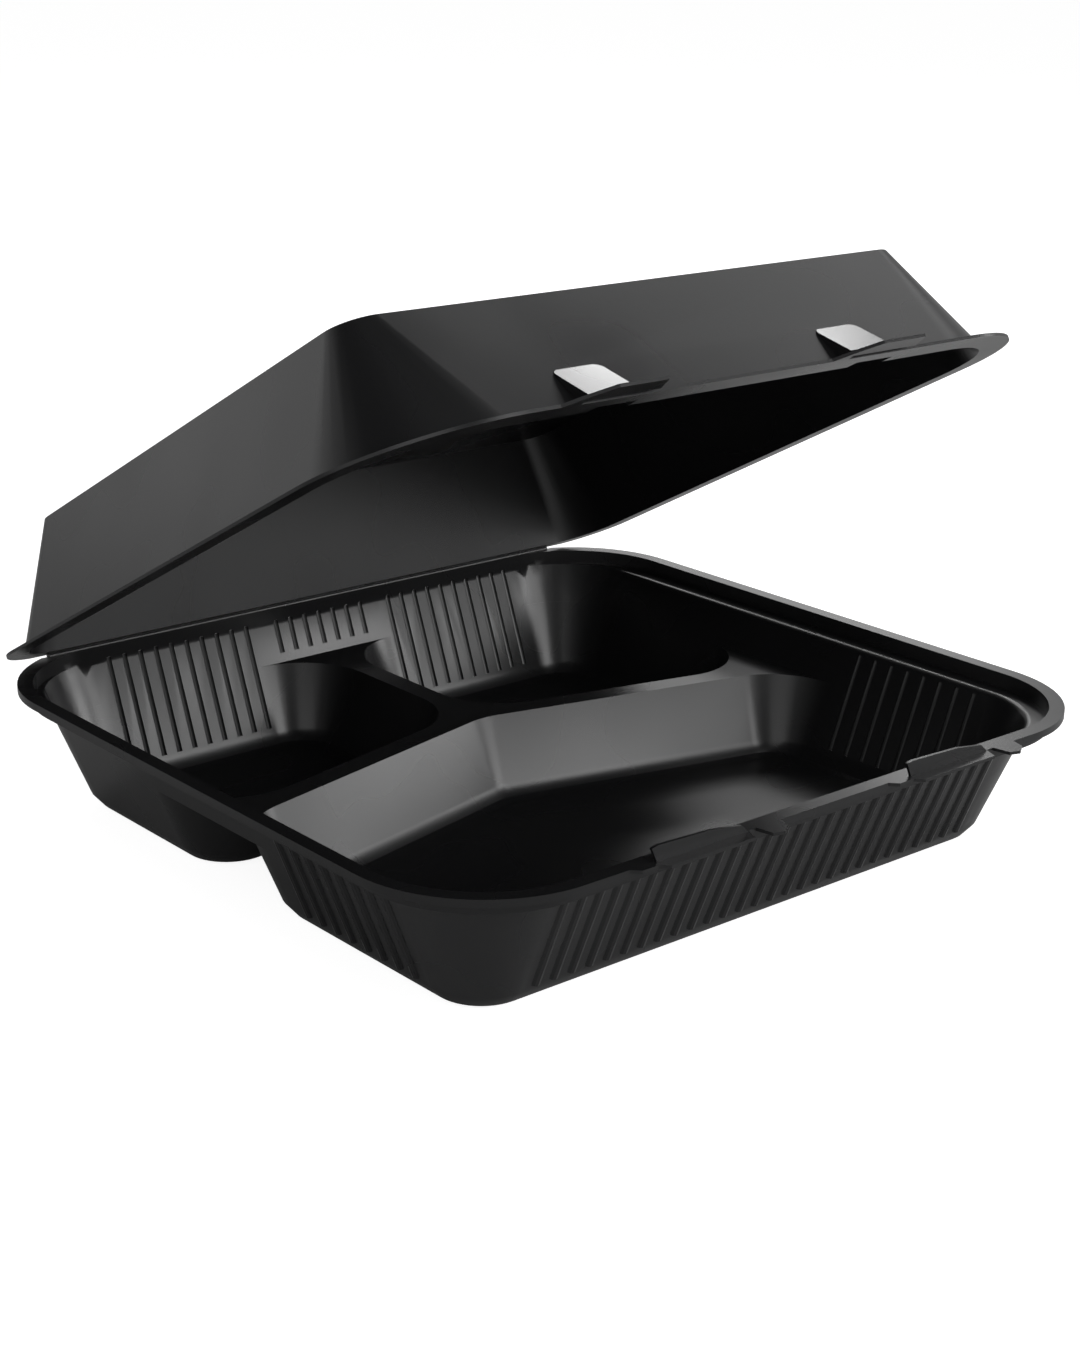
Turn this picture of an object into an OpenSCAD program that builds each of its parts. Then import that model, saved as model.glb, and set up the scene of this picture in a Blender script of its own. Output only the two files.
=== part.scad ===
// Hinged-lid takeout container with three compartments, thermoformed from black plastic sheet.
// Frame: X along the hinge, Y from the front to the hinge, Z up.
// The origin is at the middle of the base, on the floor plane.

/* [Sheet] */
// thickness of the formed sheet
sheet = 0.8; // [0.6:0.05:1.0]

/* [Tray plan] */
// distance from the middle to the corner centres across the tray
corner_x = 76.8; // [72:0.2:82]
// distance from the middle to the corner centres at the front
corner_y = 69.1; // [66:0.1:73]
// distance from the middle to the corner centres at the back
back_y = 77.8; // [77.6:0.1:79]
// distance from the middle to the upright face under the hinge
tray_back = 103.8; // [103.2:0.1:103.8]
// inside corner radius where the wall planes meet the floor plane
corner_r = 12; // [10:0.5:14]
// sideways growth of every well wall per millimetre of height
draft = 0.404; // [0.36:0.004:0.44]

/* [Tray heights] */
// height of the divider top
divider_z = 22.3; // [20:0.1:25]
// height of the stepped ledge
ledge_z = 33.5; // [32:0.1:35]
// height of the rim lip
rim_z = 37.7; // [37:0.1:40]

/* [Rim] */
// radius of the riser at the corners
riser_r = 30.9; // [30:0.1:32]
// width of the outward lip
lip_w = 4.3; // [3.5:0.1:5]

/* [Dividers] */
// width of the divider top
divider_w = 6.5; // [5.5:0.1:8]
// sideways slope of the two divider arms
arm_slope = 0.231; // [0.18:0.003:0.27]
// front edge of the divider at the middle, before rounding
arm_y = 25.2; // [22:0.2:28]

/* [Ribs] */
// radius of one rib groove
rib_r = 0.85; // [0.7:0.05:1.1]
// spacing of the ribs on the front wall
front_pitch = 5.4; // [5.2:0.1:5.6]
// spacing of the ribs on the back wall
back_pitch = 5.1; // [4.9:0.1:5.2]
// distance from the middle to the first long rib of each back row
rib_gap = 25.8; // [25:0.1:26.5]
// place of the rearmost rib on the side walls
side_start = -22; // [-26:0.5:-20]
// spacing of the ribs on the side walls
side_pitch = 6; // [5.6:0.1:6.2]

/* [Lid] */
// height of the lid above its flange
lid_h = 33.7; // [30:0.1:38]
// half width of the lid walls at the flange
lid_half_x = 104.6; // [103:0.1:106]
// half width of the lid top
lid_top_half_x = 90.2; // [86:0.1:92]
// front corner radius of the lid at the flange
lid_r_low = 33; // [28:0.5:36]
// front corner radius of the lid at the top
lid_r_top = 9; // [7:0.5:13]
// back corner radius of the lid at the flange
lid_r_back = 14; // [12:0.5:18]
// back corner radius of the lid at the top
lid_r_back_top = 9; // [7:0.5:11]
// how far the top edge of the lid front leans back
lid_front_lean = 21.7; // [18:0.1:24]
// how far the top edge of the lid back leans forward
lid_back_lean = 9; // [7:0.5:14]
// width of the lid flange at the sides and back
flange_w = 4.7; // [4.4:0.1:5.4]
// extra width of the lid flange at the front, where the locks are
flange_more = 2.8; // [2:0.1:3.2]

/* [Hinge] */
// radius of the hinge crease bead
hinge_r = 1; // [0.8:0.05:1.2]
// clearance of the lid around the hinge bead and above the rim
hinge_gap = 0.3; // [0.3:0.05:0.5]
// half length of the hinge
hinge_half = 90; // [80:1:90]

/* [Locks] */
// distance from the middle to each lock
lock_x = 42.2; // [38:0.2:46]
// length of the upright tongue on the tray rim
tongue_w = 31; // [26:0.5:32]
// height of the tongue above the rim at its high end
tongue_h = 4; // [3:0.1:5]
// reach of the flat grip under the tongue, out from the rim
grip_w = 4; // [3:0.1:5]
// reach of the finger lug beside the tongue, out from the rim
lug_w = 5.7; // [5:0.1:7]
// length of the finger lug along the rim
lug_len = 8.5; // [7:0.5:10]
// length of the low hump at the other end of the tongue
hump_len = 7; // [6:0.5:8]
// width of a lock hood on the lid wall
hood_w = 14.3; // [12:0.1:16]
// height at which a hood leaves the lid wall
hood_h = 12; // [11:0.1:13]
// height of the low edge of a hood pad
hood_low = 3.2; // [2.8:0.1:4]
// reach of the lid strap, out from the flange
strap_w = 6.6; // [6:0.1:7.5]
// rise of the lid strap to its outer edge
strap_rise = 0.9; // [0.6:0.1:1.6]
// distance from the middle of a lock to the free end of its strap
strap_end = 5; // [4:0.5:8]
// clearance of the strap slit around the tongue
lock_gap = 0.4; // [0.3:0.05:0.5]

/* [Rest position] */
// angle of the lid in the rest position, from closed
lid_open = 28.2; // [0:0.2:180]

/* [Hidden] */
eps = 0.02;
rim_r = riser_r + lip_w;
side_t = sheet * sqrt(1 + draft * draft);
tray_half_x = corner_x + rim_r;
tray_half_y = corner_y + rim_r;
hinge_y = tray_back + 0.2;
hinge_z = rim_z;
// corner centres of the rim at the back, from where the riser meets the upright face under the hinge
rim_back = tray_back - sheet + 0.1 - riser_r;
// how far the lid flange stops short of the hinge axis
hinge_in = 0.4;
// inside radius of the wells at a height
function wall_r(z) = corner_r + draft * z;
// perpendicular set-back of an arm line
arm_len = sqrt(1 + arm_slope * arm_slope);
small_x = divider_w / 2 + wall_r(divider_z);
arm_front = arm_y - wall_r(divider_z) * arm_len;
arm_back = arm_y + (divider_w + wall_r(divider_z)) * arm_len;
// corner centres of the basin walls, anticlockwise from the front left
basin_pts = [[-corner_x, -corner_y], [corner_x, -corner_y], [corner_x, back_y], [-corner_x, back_y]];
// corner centres of the rim above the walls
rim_pts = [[-corner_x, -corner_y], [corner_x, -corner_y], [corner_x, rim_back], [-corner_x, rim_back]];
// corner centres of the large front well, with its pointed back edge
large_pts = [[-corner_x, -corner_y], [corner_x, -corner_y],
             [corner_x, arm_front - arm_slope * corner_x], [0, arm_front],
             [-corner_x, arm_front - arm_slope * corner_x]];
// corner centres of the back right well; the back left well mirrors it
small_pts = [[small_x, arm_back - arm_slope * small_x], [corner_x, arm_back - arm_slope * corner_x],
             [corner_x, back_y], [small_x, back_y]];
lid_z = rim_z + hinge_gap;
lid_front_y = -tray_half_y + 0.7;
flange_r = lid_r_low + flange_w;
flange_back_r = lid_r_back + flange_w;
flange_half_x = lid_half_x + flange_w;
flange_front = lid_front_y + flange_r;
flange_back = hinge_y - hinge_in - flange_back_r;
lid_low_y = flange_front + flange_more;
lid_top_y = lid_low_y - lid_r_low + lid_front_lean + lid_r_top;
lid_top_back = flange_back + lid_r_back - lid_back_lean - lid_r_back_top;
front_ribs = 28;
back_ribs = 10;
short_ribs = 7;
side_ribs = 8;
// outside of the tongue, which stands in the strap slit when the lid is closed
tongue_y = lid_front_y - lock_gap - sheet;
slit_w = sheet + 2 * lock_gap;
// the strap hangs from its left end, beyond the slit
strap_root = tongue_w / 2 + 3;
strap_taper = 12;
// the hood sits a little left of the middle of its lock
hood_x = -1.4;
// set-back of the lid front wall per millimetre of height
lid_slope = lid_front_lean / lid_h;
wall_d = flange_w + flange_more;
pad_top = wall_d + lid_slope * hood_h;
pad_low = 5.3;
pad_angle = atan((hood_h - hood_low) / (pad_top - pad_low));
pad_len = norm([hood_h - hood_low, pad_top - pad_low]);

// solid whose side follows one half profile around an outline of corner centres
module swept(pts, profile, z0, z1) {
    n = len(pts);
    translate([0, 0, z0])
        linear_extrude(z1 - z0)
            polygon(pts);
    for (i = [0:n - 1]) {
        a = pts[i];
        b = pts[(i + 1) % n];
        along = atan2(b[1] - a[1], b[0] - a[0]);
        // straight side
        translate([a[0], a[1], 0])
            rotate([0, 0, along])
                rotate([90, 0, 90])
                    linear_extrude(norm(b - a))
                        scale([-1, 1])
                            polygon(profile);
        // round corner
        translate([a[0], a[1], 0])
            rotate([0, 0, along - 180])
                rotate_extrude(angle = 90, $fn = 48)
                    polygon(profile);
    }
}

// inside half profile of a well, floor rounded into the wall
function well_in() = [[0, sheet], [wall_r(0.8) - 4.2, sheet], [wall_r(1.5) - 1.7, sheet + 0.9],
    [wall_r(4.6), 4.6], [wall_r(divider_z), divider_z], [0, divider_z]];
// outside half profile of a well, one sheet thickness away
function well_out() = [[0, 0], [wall_r(0.8) - 3.9, 0], [wall_r(1.5) - 1.0, 0.8],
    [wall_r(4.2) + side_t, 4.2], [wall_r(divider_z) + side_t, divider_z], [0, divider_z]];
// inside half profile of the basin walls above the dividers
function basin_in() = [[0, divider_z], [wall_r(divider_z), divider_z], [wall_r(ledge_z), ledge_z],
    [wall_r(ledge_z), ledge_z + 1], [0, ledge_z + 1]];
// outside half profile of the basin walls
function basin_out() = [[0, divider_z - sheet], [wall_r(divider_z - sheet) + side_t, divider_z - sheet],
    [wall_r(ledge_z - sheet) + side_t, ledge_z - sheet], [wall_r(ledge_z - sheet) + side_t, ledge_z],
    [0, ledge_z]];
// inside half profile of the stepped rim
function rim_in() = [[0, ledge_z], [riser_r, ledge_z], [riser_r + 0.3, rim_z + 1], [0, rim_z + 1]];
// outside half profile of the stepped rim with its lip
function rim_out() = [[0, ledge_z - sheet], [riser_r + sheet, ledge_z - sheet],
    [riser_r + sheet + 0.2, rim_z - sheet], [rim_r - sheet, rim_z - sheet],
    [rim_r - sheet, rim_z - 2], [rim_r, rim_z - 2], [rim_r, rim_z], [0, rim_z]];

// basin solid from the half profiles of its walls and rim, cut off square at the back
module basin(walls, rim, z0, z1, back) {
    intersection() {
        union() {
            swept(basin_pts, walls, walls[0][1], walls[len(walls) - 1][1]);
            swept(rim_pts, rim, rim[0][1], rim[len(rim) - 1][1]);
        }
        translate([-tray_half_x - 1, -tray_half_y - 1, z0 - 1])
            cube([2 * tray_half_x + 2, tray_half_y + back + 1, z1 - z0 + 2]);
    }
}

// one rib: a round bar lying on a drafted wall from height z0 to z1
module rib(r, z0, z1) {
    translate([0, -wall_r(z0), z0])
        rotate([atan(draft), 0, 0])
            cylinder(h = (z1 - z0) * sqrt(1 + draft * draft), r = r, $fn = 12);
}

// every rib of the tray, grooves inside or ridges outside by radius
module ribs(r) {
    for (i = [0:front_ribs - 1])
        translate([(i - (front_ribs - 1) / 2) * front_pitch, -corner_y, 0])
            rib(r, 5.5, ledge_z - 1.5);
    for (s = [-1, 1]) {
        for (i = [0:back_ribs - 1])
            translate([s * (rib_gap + i * back_pitch), back_y, 0])
                rotate([0, 0, 180])
                    rib(r, 5.5, ledge_z + 0.4);
        for (i = [0:side_ribs - 1])
            translate([s * corner_x, side_start - i * side_pitch, 0])
                rotate([0, 0, s * 90])
                    rib(r, 5.5, ledge_z - 1.5);
    }
    for (i = [0:short_ribs - 1])
        translate([(i - (short_ribs - 1) / 2) * back_pitch, back_y, 0])
            rotate([0, 0, 180])
                rib(r, divider_z + 2.5, ledge_z + 0.4);
}

// one well: the revolved half profile at each corner centre, wrapped in one skin
module well(pts, profile) {
    hull()
        for (p = pts)
            translate([p[0], p[1], 0])
                rotate_extrude($fn = 48)
                    polygon(profile);
}

// the three wells from one profile
module wells(profile) {
    well(large_pts, profile);
    well(small_pts, profile);
    mirror([1, 0, 0])
        well(small_pts, profile);
}

// lock on the tray rim: flat grip with an upright tongue, and a finger lug beside it
module tray_lock() {
    edge = -tray_half_y;
    half = tongue_w / 2;
    translate([0, 0, rim_z - sheet])
        linear_extrude(sheet) {
            polygon([[-half - hump_len, edge + 1], [-half - hump_len * 0.57, edge - grip_w / 2],
                     [-half + hump_len * 0.14, edge - grip_w / 2], [-half + hump_len * 0.43, edge - grip_w],
                     [half - grip_w / 2, edge - grip_w], [half, edge + 1]]);
            translate([half + grip_w / 2, edge])
                polygon([[0, 1], [lug_len * 0.12, -lug_w * 0.82], [lug_len * 0.47, -lug_w],
                         [lug_len * 0.82, -lug_w * 0.65], [lug_len, 1]]);
        }
    translate([0, tongue_y + sheet, rim_z - sheet])
        rotate([90, 0, 0])
            linear_extrude(sheet)
                polygon([[-half + 2, 0], [-half, sheet + tongue_h - 0.4], [-half + 2, sheet + tongue_h],
                         [half * 0.2, sheet + tongue_h * 0.85], [half * 0.8, sheet + tongue_h * 0.5], [half, 0]]);
}

// tray: three wells hanging in one basin, stepped rim with lip, ribs, locks and the hinge bead
module tray() {
    color("#1c1c1d") {
        difference() {
            union() {
                wells(well_out());
                basin(basin_out(), rim_out(), divider_z - sheet, rim_z, tray_back);
                ribs(rib_r + sheet * 0.9);
            }
            wells(well_in());
            basin(basin_in(), rim_in(), divider_z, rim_z + 1, tray_back - sheet);
            ribs(rib_r);
        }
        for (s = [-1, 1])
            translate([s * lock_x, 0, 0])
                tray_lock();
        translate([-hinge_half, hinge_y, hinge_z])
            rotate([0, 90, 0])
                cylinder(h = 2 * hinge_half, r = hinge_r, $fn = 24);
    }
}

// tapered body of the lid, shrunk by a wall thickness
module lid_body(cut, top) {
    low = cut > 0 ? lid_z - 1 : lid_z;
    hull() {
        for (s = [-1, 1]) {
            translate([s * (lid_half_x - lid_r_low), lid_low_y, low])
                cylinder(h = eps, r = lid_r_low - cut, $fn = 48);
            translate([s * (lid_half_x - lid_r_back), flange_back, low])
                cylinder(h = eps, r = lid_r_back - cut, $fn = 36);
            translate([s * (lid_top_half_x - lid_r_top), lid_top_y, lid_z + top])
                cylinder(h = eps, r = lid_r_top - cut, $fn = 48);
            translate([s * (lid_top_half_x - lid_r_back_top), lid_top_back, lid_z + top])
                cylinder(h = eps, r = lid_r_back_top - cut, $fn = 36);
        }
    }
}

// flat rounded outline of the lid flange, drawn in by a margin
module flange_plate(margin, z0, h) {
    front_r = flange_r - margin;
    back_r = flange_back_r - margin;
    half = flange_half_x - margin;
    translate([0, 0, z0])
        linear_extrude(h) {
            for (s = [-1, 1]) {
                translate([s * (half - front_r), flange_front])
                    circle(front_r, $fn = 64);
                translate([s * (half - back_r), flange_back])
                    circle(back_r, $fn = 48);
            }
            translate([-half, flange_front])
                square([2 * half, flange_back - flange_front]);
            translate([-half + front_r, flange_front - front_r])
                square([2 * (half - front_r), front_r]);
            translate([-half + back_r, flange_back])
                square([2 * (half - back_r), back_r]);
        }
}

// side outline of a lock hood as distance from the flange edge and height, shrunk by a wall thickness
function hood_side(o) = [[pad_top + 4, o > 0 ? -1 : 0], [pad_top + 4, hood_h - o],
    [pad_top + o * sin(pad_angle), hood_h - o * cos(pad_angle)],
    [pad_low + o * sin(pad_angle), hood_low - o * cos(pad_angle)],
    [pad_low - 0.9 + o, o > 0 ? -1 : 0]];

// rounded slab as wide as a hood, square to its pad
module pad_slab(w, r) {
    translate([0, lid_front_y + pad_low, lid_z + hood_low])
        rotate([pad_angle, 0, 0])
            translate([0, 0, -30])
                linear_extrude(60) {
                    translate([-w / 2 + r, -30])
                        square([w - 2 * r, 30 + pad_len]);
                    translate([-w / 2, -30])
                        square([w, 30 + pad_len - r]);
                    for (s = [-1, 1])
                        translate([s * (w / 2 - r), pad_len - r])
                            circle(r, $fn = 24);
                }
}

// solid of one lock hood
module hood(w, o) {
    translate([hood_x, 0, 0])
        intersection() {
            translate([-w / 2, lid_front_y, lid_z])
                rotate([90, 0, 90])
                    linear_extrude(w)
                        polygon(hood_side(o));
            pad_slab(w, 2.5 - o);
        }
}

// finger strap in front of a hood, hanging from its left end and slit along the flange
module strap() {
    half = tongue_w / 2;
    difference() {
        intersection() {
            translate([-half - 20, lid_front_y, lid_z])
                rotate([90, 0, 90])
                    linear_extrude(2 * half + 40)
                        polygon([[1, 0], [0, 0], [-strap_w / 2, strap_rise * 0.6], [-strap_w, strap_rise],
                                 [-strap_w, strap_rise + sheet], [-strap_w / 2, strap_rise * 0.6 + sheet],
                                 [0, sheet], [1, sheet]]);
            translate([0, lid_front_y, lid_z - 5])
                linear_extrude(20)
                    polygon([[-strap_root - 3, 1], [-strap_root - 3, 0], [strap_taper - strap_root - 3, -strap_w],
                             [strap_end, -strap_w], [strap_end + 2, 1]]);
        }
        translate([-half - lock_gap, lid_front_y - slit_w, lid_z - 5])
            cube([tongue_w + 20, slit_w, 20]);
    }
}

// lid in the closed position
module lid_closed() {
    difference() {
        union() {
            lid_body(0, lid_h);
            flange_plate(0, lid_z, sheet);
            for (s = [-1, 1])
                translate([s * lock_x, 0, 0]) {
                    hood(hood_w, 0);
                    strap();
                }
        }
        lid_body(sheet, lid_h - sheet);
        for (s = [-1, 1])
            translate([s * lock_x, 0, 0])
                hood(hood_w - 2 * sheet, sheet);
        // room around the hinge bead
        translate([-tray_half_x, hinge_y, hinge_z])
            rotate([0, 90, 0])
                cylinder(h = 2 * tray_half_x, r = hinge_r + hinge_gap, $fn = 24);
    }
}

// lid turned about the hinge to its rest position
module lid() {
    color("#202021")
        translate([0, hinge_y, hinge_z])
            rotate([-lid_open, 0, 0])
                translate([0, -hinge_y, -hinge_z])
                    lid_closed();
}

tray();
lid();
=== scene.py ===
import math

import bpy
from mathutils import Matrix, Vector


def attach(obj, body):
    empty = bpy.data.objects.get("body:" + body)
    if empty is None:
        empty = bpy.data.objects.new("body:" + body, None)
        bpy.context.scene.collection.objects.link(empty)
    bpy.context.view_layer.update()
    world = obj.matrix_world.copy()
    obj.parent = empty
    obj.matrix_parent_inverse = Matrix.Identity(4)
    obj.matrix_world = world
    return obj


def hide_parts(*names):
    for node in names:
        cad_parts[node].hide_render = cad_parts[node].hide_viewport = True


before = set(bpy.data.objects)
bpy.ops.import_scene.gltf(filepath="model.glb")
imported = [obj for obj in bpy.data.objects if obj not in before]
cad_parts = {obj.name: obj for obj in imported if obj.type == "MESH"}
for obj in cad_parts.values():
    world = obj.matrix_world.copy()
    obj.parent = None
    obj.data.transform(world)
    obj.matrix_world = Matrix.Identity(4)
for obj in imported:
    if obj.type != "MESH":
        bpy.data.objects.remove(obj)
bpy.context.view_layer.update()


# The tray: one sheet of black polypropylene drawn by vacuum into a mould with a large well in
# front, two small ones behind, ribbed walls and a stepped rim. The mould leaves no sharp crease,
# so the skin here is the formed part with every fold softened.
def linear(code):
    """sRGB hex to a linear colour."""
    parts = [int(code[i:i + 2], 16) / 255 for i in (1, 3, 5)]
    return [p / 12.92 if p <= 0.04045 else ((p + 0.055) / 1.055) ** 2.4 for p in parts] + [1]


def add(tree, kind, settings=None, **links):
    """Adds a node with its settings, and links or values for its sockets by name."""
    node = tree.nodes.new(kind)
    for name, value in (settings or {}).items():
        setattr(node, name, value)
    for name, value in links.items():
        socket = node.inputs[name.replace("_", " ")]
        if isinstance(value, bpy.types.NodeSocket):
            tree.links.new(value, socket)
        else:
            socket.default_value = value
    return node


def step_fold(point):
    """Share of the wide fold at a point: full along the inner edge of the rim's step, and running
    out round the back corners."""
    corner_x, front_y, back_y = 0.0768, -0.0691, 0.0778
    edge_radius, step_z, run_out = 0.02553, 0.0335, 0.015
    near_radius, near_z = 2e-4, 1e-5
    past = math.hypot(max(abs(point.x) - corner_x, 0), max(front_y - point.y, point.y - back_y, 0))
    if abs(point.z - step_z) > near_z or abs(past - edge_radius) > near_radius:
        return 0
    return min(1, max(0, 1 - (point.y - back_y) / run_out))


def formed_skin(name, node, fold_radius, wide_fold=None):
    """A copy of a formed CAD piece with its seams merged and its folds rounded."""
    seam_gap, wide_radius = 2e-6, 0.0012
    flat_angle, fold_angle, smooth_angle = (math.radians(a) for a in (0.4, 24, 28))
    bpy.ops.object.select_all(action="DESELECT")
    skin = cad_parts[node].copy()
    skin.data = skin.data.copy()
    skin.name = skin.data.name = name
    skin.parent = None
    for key in list(skin.keys()):
        del skin[key]
    bpy.context.scene.collection.objects.link(skin)
    skin.select_set(True)
    bpy.context.view_layer.objects.active = skin
    bpy.ops.object.mode_set(mode="EDIT")
    bpy.ops.mesh.select_all(action="SELECT")
    bpy.ops.mesh.customdata_custom_splitnormals_clear()
    bpy.ops.mesh.remove_doubles(threshold=seam_gap)
    bpy.ops.mesh.dissolve_limited(angle_limit=flat_angle)
    bpy.ops.object.mode_set(mode="OBJECT")
    if wide_fold:
        # drawn over a wider radius than the other folds, so it catches a broader light
        share = skin.data.attributes.new("bevel_weight_edge", "FLOAT", "EDGE")
        for edge in skin.data.edges:
            ends = [skin.data.vertices[v].co for v in edge.vertices]
            share.data[edge.index].value = min(wide_fold(end) for end in ends)
        wide = skin.modifiers.new("wide fold", "BEVEL")
        wide.width = wide_radius
        wide.segments = 4
        wide.limit_method = "WEIGHT"
        wide.use_clamp_overlap = False
        bpy.ops.object.modifier_apply(modifier="wide fold")
    bevel = skin.modifiers.new("folds", "BEVEL")
    bevel.width = fold_radius
    bevel.segments = 2
    bevel.limit_method = "ANGLE"
    bevel.angle_limit = fold_angle
    bpy.ops.object.modifier_apply(modifier="folds")
    bpy.ops.object.shade_smooth_by_angle(angle=smooth_angle)
    # the large flat walls keep their own direction where they run into a round corner
    flat = skin.modifiers.new("flat walls", "WEIGHTED_NORMAL")
    flat.mode = "FACE_AREA"
    flat.weight = 100
    flat.keep_sharp = True
    bpy.ops.object.modifier_apply(modifier="flat walls")
    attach(skin, node)
    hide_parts(node)
    return skin


def black_polypropylene(name, tint):
    """Mineral-filled polypropylene sheet: satin black, with the faint grain of the mould."""
    grain_size, drift_size = 0.0015, 0.04
    material = bpy.data.materials.new(name)
    material.use_nodes = True
    tree = material.node_tree
    shader = tree.nodes["Principled BSDF"]
    shader.inputs["IOR"].default_value = 1.49
    place = add(tree, "ShaderNodeTexCoord").outputs["Object"]
    # mould grain, drawn about 1.5 mm across: the real one is finer than the render can show
    grain = add(tree, "ShaderNodeTexNoise", Vector=place, Scale=1 / grain_size, Detail=1.0)
    # slow drift of gloss where the sheet drew thinner, about 40 mm across
    drift = add(tree, "ShaderNodeTexNoise", Vector=place, Scale=1 / drift_size, Detail=1.0)
    gloss = add(tree, "ShaderNodeMapRange", Value=drift.outputs["Fac"], From_Min=0.3, From_Max=0.7,
                To_Min=0.25, To_Max=0.31)
    tree.links.new(gloss.outputs["Result"], shader.inputs["Roughness"])
    shade = add(tree, "ShaderNodeMixRGB", Fac=drift.outputs["Fac"], Color1=linear(tint),
                Color2=[c * 1.25 for c in linear(tint)[:3]] + [1])
    tree.links.new(shade.outputs["Color"], shader.inputs["Base Color"])
    bump = add(tree, "ShaderNodeBump", Strength=0.03, Distance=0.0002, Height=grain.outputs["Fac"])
    tree.links.new(bump.outputs["Normal"], shader.inputs["Normal"])
    return material


tray = formed_skin("tray_skin", "tray", 0.00025, step_fold)
tray.data.materials.clear()
tray.data.materials.append(black_polypropylene("satin black polypropylene, tray", "#19191a"))

# The lid: the other half of the same sheet, drawn into a plain tapered cover with cone corners.
# The real lid folds on the thin crease along the tray's back edge; here it stays where the CAD set
# it.
lid = formed_skin("lid_skin", "lid", 0.0005)
lid.data.materials.clear()
lid.data.materials.append(black_polypropylene("satin black polypropylene, lid", "#1a1a1b"))

# The floor: a pale matt sheet, four metres to each side, that the container stands on.
# A glow for the camera alone lifts it to white, and it keeps the soft shadow.
bpy.ops.object.select_all(action="DESELECT")
bpy.ops.mesh.primitive_plane_add(size=8, location=(0, 0, -0.0005))
floor = bpy.context.object
floor.name = "floor"
floor_paint = bpy.data.materials.new("pale studio floor")
floor_paint.use_nodes = True
tree = floor_paint.node_tree
tree.nodes.clear()
paint = add(tree, "ShaderNodeBsdfDiffuse", Color=linear("#d4d4d4"))
glow = add(tree, "ShaderNodeEmission", Color=[1, 1, 1, 1])
seen = add(tree, "ShaderNodeLightPath").outputs["Is Camera Ray"]
lift = add(tree, "ShaderNodeMath", {"operation": "MULTIPLY"})
tree.links.new(seen, lift.inputs[0])
lift.inputs[1].default_value = 0.90
tree.links.new(lift.outputs["Value"], glow.inputs["Strength"])
both = add(tree, "ShaderNodeAddShader")
tree.links.new(paint.outputs["BSDF"], both.inputs[0])
tree.links.new(glow.outputs["Emission"], both.inputs[1])
output = add(tree, "ShaderNodeOutputMaterial")
tree.links.new(both.outputs["Shader"], output.inputs["Surface"])
floor.data.materials.append(floor_paint)

# The studio: white walls all round that are brightest low on the left, and dim overhead and to the
# right. The camera sees them plain white.
world = bpy.data.worlds.new("white studio")
bpy.context.scene.world = world
world.use_nodes = True
tree = world.node_tree
tree.nodes.clear()
direction = add(tree, "ShaderNodeTexCoord").outputs["Generated"]
axes = add(tree, "ShaderNodeSeparateXYZ", Vector=direction)
height = add(tree, "ShaderNodeMapRange", Value=axes.outputs["Z"],
             From_Min=0.15, From_Max=0.65, To_Min=1.0, To_Max=0.05)
side = add(tree, "ShaderNodeMapRange", Value=axes.outputs["X"],
           From_Min=-0.1, From_Max=0.5, To_Min=0.72, To_Max=0.42)
sweep = add(tree, "ShaderNodeMath", {"operation": "MULTIPLY"})
tree.links.new(height.outputs["Result"], sweep.inputs[0])
tree.links.new(side.outputs["Result"], sweep.inputs[1])
seen = add(tree, "ShaderNodeLightPath").outputs["Is Camera Ray"]
level = add(tree, "ShaderNodeMix", {"data_type": "FLOAT"})
tree.links.new(seen, level.inputs["Factor"])
tree.links.new(sweep.outputs["Value"], level.inputs["A"])
level.inputs["B"].default_value = 1.0
sky = add(tree, "ShaderNodeBackground", Color=[1, 1, 1, 1], Strength=level.outputs["Result"])
output = add(tree, "ShaderNodeOutputWorld", Surface=sky.outputs["Background"])


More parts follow.
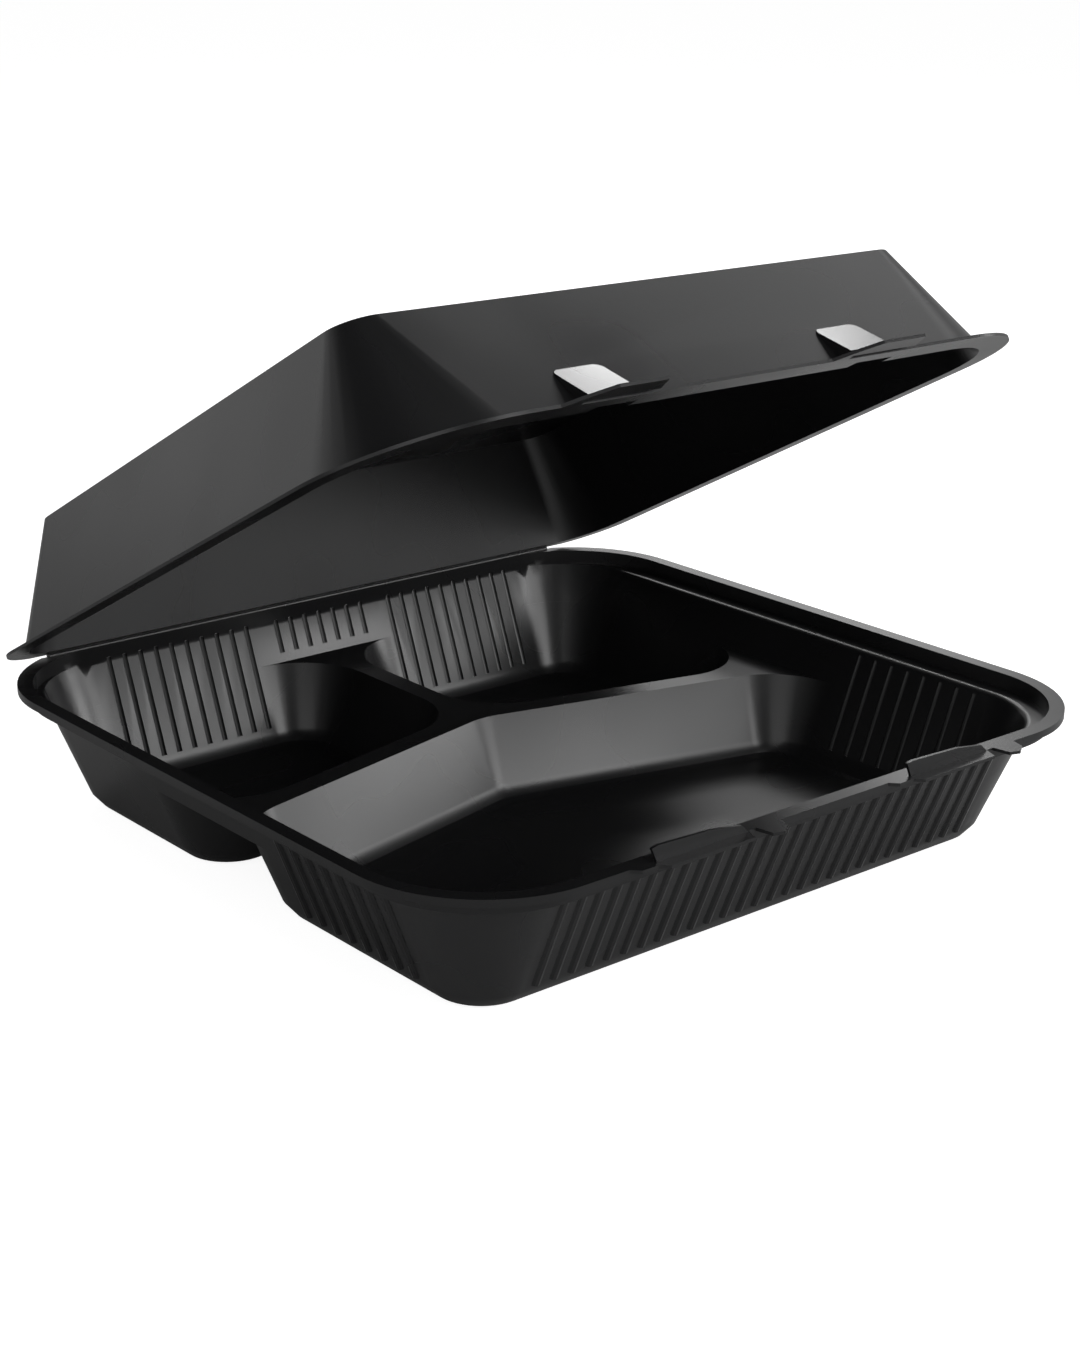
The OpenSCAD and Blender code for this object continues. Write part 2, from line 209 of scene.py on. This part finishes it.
# Soft boxes: three in front and low on the right light the divider and the ribbed back wall, one on
# the right, a fill on the left and one overhead the lid, two behind draw the bright rim and its step,
# and a small one catches the lock pads.
def soft_box(name, toward, width, height, luminance):
    """A lamp with a white front that stands off the object to one side and faces it."""
    distance = 1.5
    lamp = bpy.data.lights.new(name, "AREA")
    lamp.shape = "RECTANGLE"
    lamp.size = width
    lamp.size_y = height
    lamp.energy = luminance * math.pi * width * height
    lamp.color = (1, 1, 1)
    holder = bpy.data.objects.new(name, lamp)
    bpy.context.scene.collection.objects.link(holder)
    aim = Vector((0, 0, 0.06))
    place = aim + Vector(toward).normalized() * distance
    turn = (aim - place).to_track_quat("-Z", "Y").to_matrix().to_4x4()
    holder.matrix_world = Matrix.Translation(place) @ turn
    holder.visible_camera = False


soft_box("front box", (0.27, -0.85, 0.46), 0.60, 0.45, 5.4)
soft_box("back wall box", (0.60, -0.73, 0.33), 0.55, 0.28, 7.4)
soft_box("low right box", (0.90, -0.40, 0.18), 0.55, 0.42, 6.5)
soft_box("right box", (0.76, 0.22, 0.60), 0.80, 0.50, 1.1)
soft_box("front left fill", (-0.63, -0.53, 0.57), 1.00, 0.80, 1.0)
soft_box("back right strip", (0.70, 0.65, 0.28), 0.50, 0.20, 2.0)
soft_box("rim box", (0.45, 0.70, 0.55), 0.50, 0.35, 3.2)
soft_box("top box", (0.00, -0.36, 0.93), 1.60, 0.60, 1.0)
soft_box("lock spot", (0.67, 0.50, 0.55), 0.28, 0.28, 9.2)

# The camera stands front left, a little above the rim, as in the photograph. Its place, turn and
# focal length were solved from corners of the rim, the wells and the lid.
lens_px, picture_height_px, sensor_mm = 2359.2, 1350, 36
stand = Vector((-0.38877, -0.45118, 0.24396))
azimuth, elevation, roll = (math.radians(a) for a in (-40.69, 18.78, 0.90))
back = Vector((
    math.sin(azimuth) * math.cos(elevation),
    -math.cos(azimuth) * math.cos(elevation),
    math.sin(elevation)))
right = Vector((math.cos(azimuth), math.sin(azimuth), 0))
up = back.cross(right)
right, up = (
    math.cos(roll) * right + math.sin(roll) * up,
    math.cos(roll) * up - math.sin(roll) * right)
camera_data = bpy.data.cameras.new("camera")
camera_data.sensor_fit = "VERTICAL"
camera_data.sensor_height = sensor_mm
camera_data.lens = lens_px * sensor_mm / picture_height_px
camera = bpy.data.objects.new("camera", camera_data)
bpy.context.scene.collection.objects.link(camera)
camera.matrix_world = Matrix((
    (right.x, up.x, back.x, stand.x),
    (right.y, up.y, back.y, stand.y),
    (right.z, up.z, back.z, stand.z),
    (0, 0, 0, 1)))
bpy.context.scene.camera = camera
bpy.context.scene.view_settings.view_transform = "Standard"
